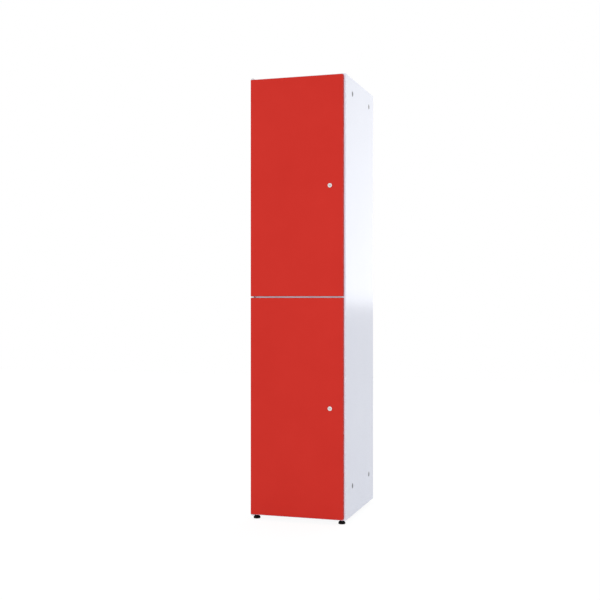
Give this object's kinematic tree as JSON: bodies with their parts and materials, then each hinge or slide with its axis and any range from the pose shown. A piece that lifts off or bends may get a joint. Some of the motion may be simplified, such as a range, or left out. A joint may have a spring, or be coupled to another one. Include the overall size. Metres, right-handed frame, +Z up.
{
  "type": "metal storage cabinet",
  "caption": "Tall two-tier metal locker: white folded-sheet carcass, red doors on concealed pivot hinges, cam locks, a coat hook in each compartment and adjustable feet.",
  "frame": {"origin": "on the floor, under the middle of the cabinet's bounding box", "axes": "+Z up, doors face -Y, +X to the right as seen from the front"},
  "size_m": [0.4, 0.5024, 1.796],
  "materials": {
    "body_white": "glossy white powder coat",
    "door_red": "satin red powder coat",
    "lock_chrome": "polished",
    "zinc_steel": "bright zinc plate",
    "bush_nylon": "natural nylon",
    "plug_grey": "matte",
    "foot_black": "moulded black nylon",
    "bumper_rubber": "matte"
  },
  "bodies": {
    "carcass": {"left_side": "body_white", "right_side": "body_white", "back_panel": "body_white", "top_panel": "body_white", "base_panel": "body_white", "middle_shelf": "body_white", "bottom_hinge_bracket": "body_white", "middle_hinge_bracket": "body_white", "top_hinge_bracket": "body_white", "bottom_hinge_pin": "zinc_steel", "middle_hinge_pin": "zinc_steel", "top_hinge_pin": "zinc_steel", "lower_bottom_bumper": "bumper_rubber", "lower_top_bumper": "bumper_rubber", "upper_bottom_bumper": "bumper_rubber", "upper_top_bumper": "bumper_rubber", "lower_coat_hook": "zinc_steel", "upper_coat_hook": "zinc_steel", "left_hole_plug_1": "plug_grey", "left_hole_plug_2": "plug_grey", "left_hole_plug_3": "plug_grey", "left_hole_plug_4": "plug_grey", "right_hole_plug_1": "plug_grey", "right_hole_plug_2": "plug_grey", "right_hole_plug_3": "plug_grey", "right_hole_plug_4": "plug_grey", "front_left_foot_nut": "zinc_steel", "front_right_foot_nut": "zinc_steel", "rear_left_foot_nut": "zinc_steel", "rear_right_foot_nut": "zinc_steel"},
    "lower_door": {"lower_door_skin": "door_red", "lower_door_liner": "door_red", "lower_door_top_bush": "bush_nylon", "lower_door_bottom_bush": "bush_nylon", "lower_lock_housing": "lock_chrome", "lower_lock_nut": "zinc_steel"},
    "upper_door": {"upper_door_skin": "door_red", "upper_door_liner": "door_red", "upper_door_top_bush": "bush_nylon", "upper_door_bottom_bush": "bush_nylon", "upper_lock_housing": "lock_chrome", "upper_lock_nut": "zinc_steel"},
    "lower_lock": {"lower_lock_plug": "lock_chrome", "lower_lock_cam": "zinc_steel", "lower_lock_screw": "zinc_steel"},
    "upper_lock": {"upper_lock_plug": "lock_chrome", "upper_lock_cam": "zinc_steel", "upper_lock_screw": "zinc_steel"},
    "front_left_foot": {"front_left_foot_pad": "foot_black", "front_left_foot_stud": "zinc_steel"},
    "front_right_foot": {"front_right_foot_pad": "foot_black", "front_right_foot_stud": "zinc_steel"},
    "rear_left_foot": {"rear_left_foot_pad": "foot_black", "rear_left_foot_stud": "zinc_steel"},
    "rear_right_foot": {"rear_right_foot_pad": "foot_black", "rear_right_foot_stud": "zinc_steel"}
  },
  "joints": [
    {"name": "lower_door_hinge", "type": "hinge", "parent": "carcass", "child": "lower_door", "pos_m": [-0.187, -0.24175, 0.4625], "axis": [0, 0, -1], "range_deg": [0, 110]},
    {"name": "upper_door_hinge", "type": "hinge", "parent": "carcass", "child": "upper_door", "pos_m": [-0.187, -0.24175, 1.3495], "axis": [0, 0, -1], "range_deg": [0, 110]},
    {"name": "lower_lock_turn", "type": "hinge", "parent": "lower_door", "child": "lower_lock", "pos_m": [0.141, -0.24875, 0.4625], "axis": [0, 1, 0], "range_deg": [0, 90]},
    {"name": "upper_lock_turn", "type": "hinge", "parent": "upper_door", "child": "upper_lock", "pos_m": [0.141, -0.24875, 1.3495], "axis": [0, 1, 0], "range_deg": [0, 90]},
    {"name": "front_left_foot_screw", "type": "slide", "parent": "carcass", "child": "front_left_foot", "axis": [0, 0, -1], "range_m": [0, 0.01]},
    {"name": "front_right_foot_screw", "type": "slide", "parent": "carcass", "child": "front_right_foot", "axis": [0, 0, -1], "range_m": [0, 0.01]},
    {"name": "rear_left_foot_screw", "type": "slide", "parent": "carcass", "child": "rear_left_foot", "axis": [0, 0, -1], "range_m": [0, 0.01]},
    {"name": "rear_right_foot_screw", "type": "slide", "parent": "carcass", "child": "rear_right_foot", "axis": [0, 0, -1], "range_m": [0, 0.01]}
  ]
}
